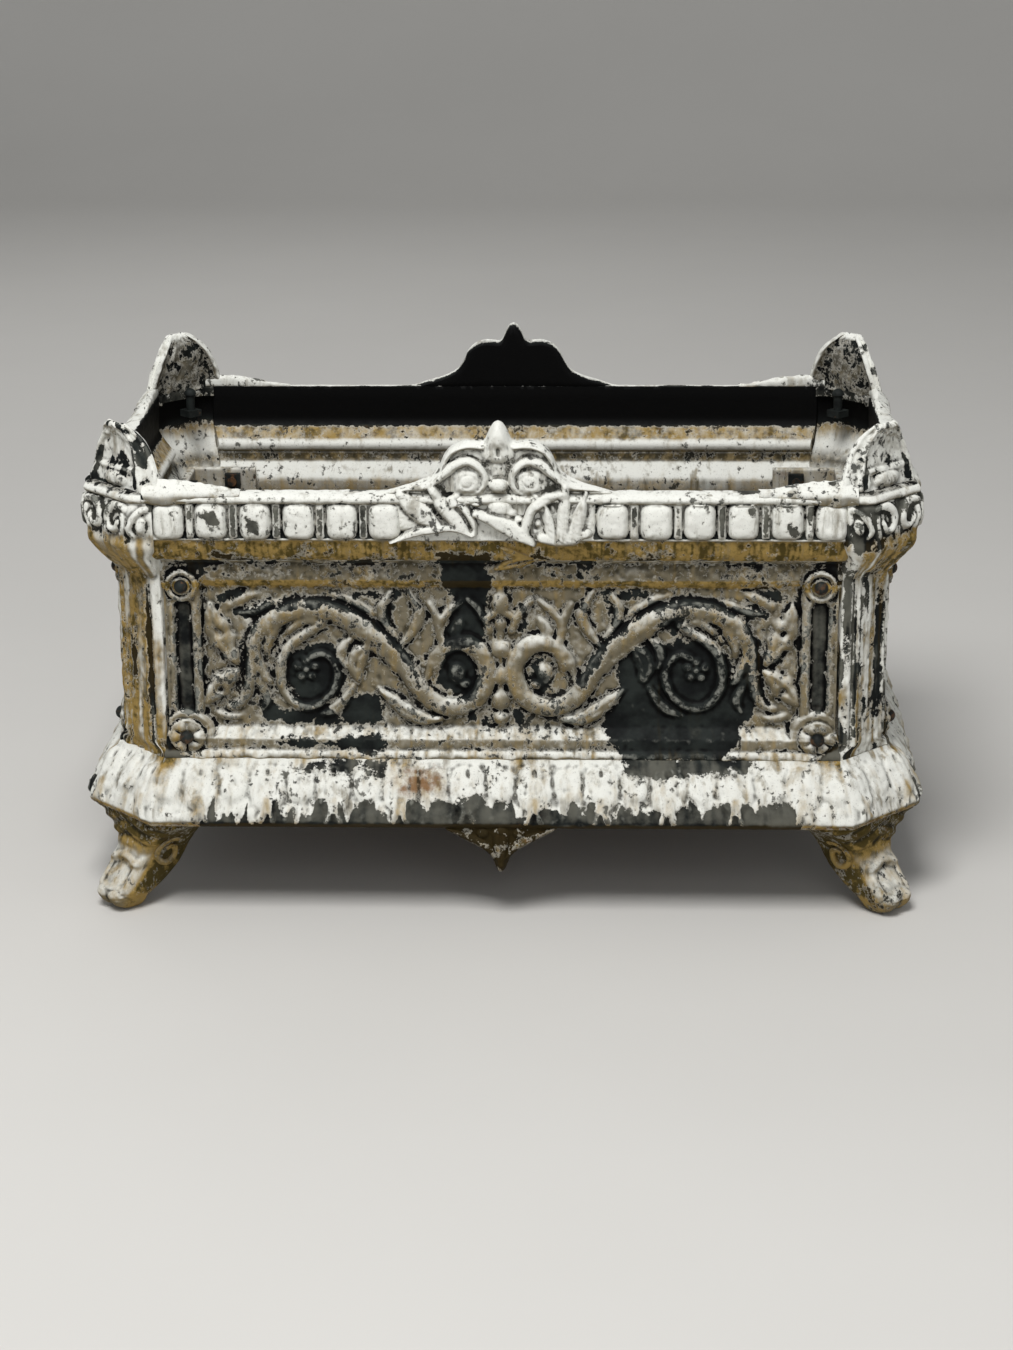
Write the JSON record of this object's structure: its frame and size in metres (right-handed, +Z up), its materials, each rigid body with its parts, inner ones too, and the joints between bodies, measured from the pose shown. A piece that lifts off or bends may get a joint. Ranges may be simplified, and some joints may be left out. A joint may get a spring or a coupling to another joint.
{
  "type": "garden planter",
  "caption": "Rectangular cast-iron garden planter with canted corners, scrolled relief panels, egg-moulded rim, hooded corner ears, crests and splayed feet.",
  "frame": {"origin": "on the ground under the middle of the planter", "axes": "+Z up, +X along the long side to the right, front face towards -Y"},
  "size_m": [0.8, 0.49, 0.482],
  "materials": {
    "painted_casting": "thick flaking off-white paint over dark cast iron",
    "bare_iron": "dark rusted iron"
  },
  "bodies": {
    "root": {"front_panel": "painted_casting", "back_panel": "painted_casting", "left_panel": "painted_casting", "right_panel": "painted_casting", "front_left_post": "painted_casting", "front_right_post": "painted_casting", "back_left_post": "painted_casting", "back_right_post": "painted_casting", "front_left_ear": "painted_casting", "front_right_ear": "painted_casting", "back_left_ear": "painted_casting", "back_right_ear": "painted_casting", "base": "painted_casting", "front_left_foot": "painted_casting", "front_right_foot": "painted_casting", "back_left_foot": "painted_casting", "back_right_foot": "painted_casting", "floor_plate": "bare_iron", "panel_bolts": "bare_iron", "panel_nuts": "bare_iron", "ear_bolts": "bare_iron", "ear_nuts": "bare_iron", "foot_bolts": "bare_iron"}
  },
  "joints": []
}
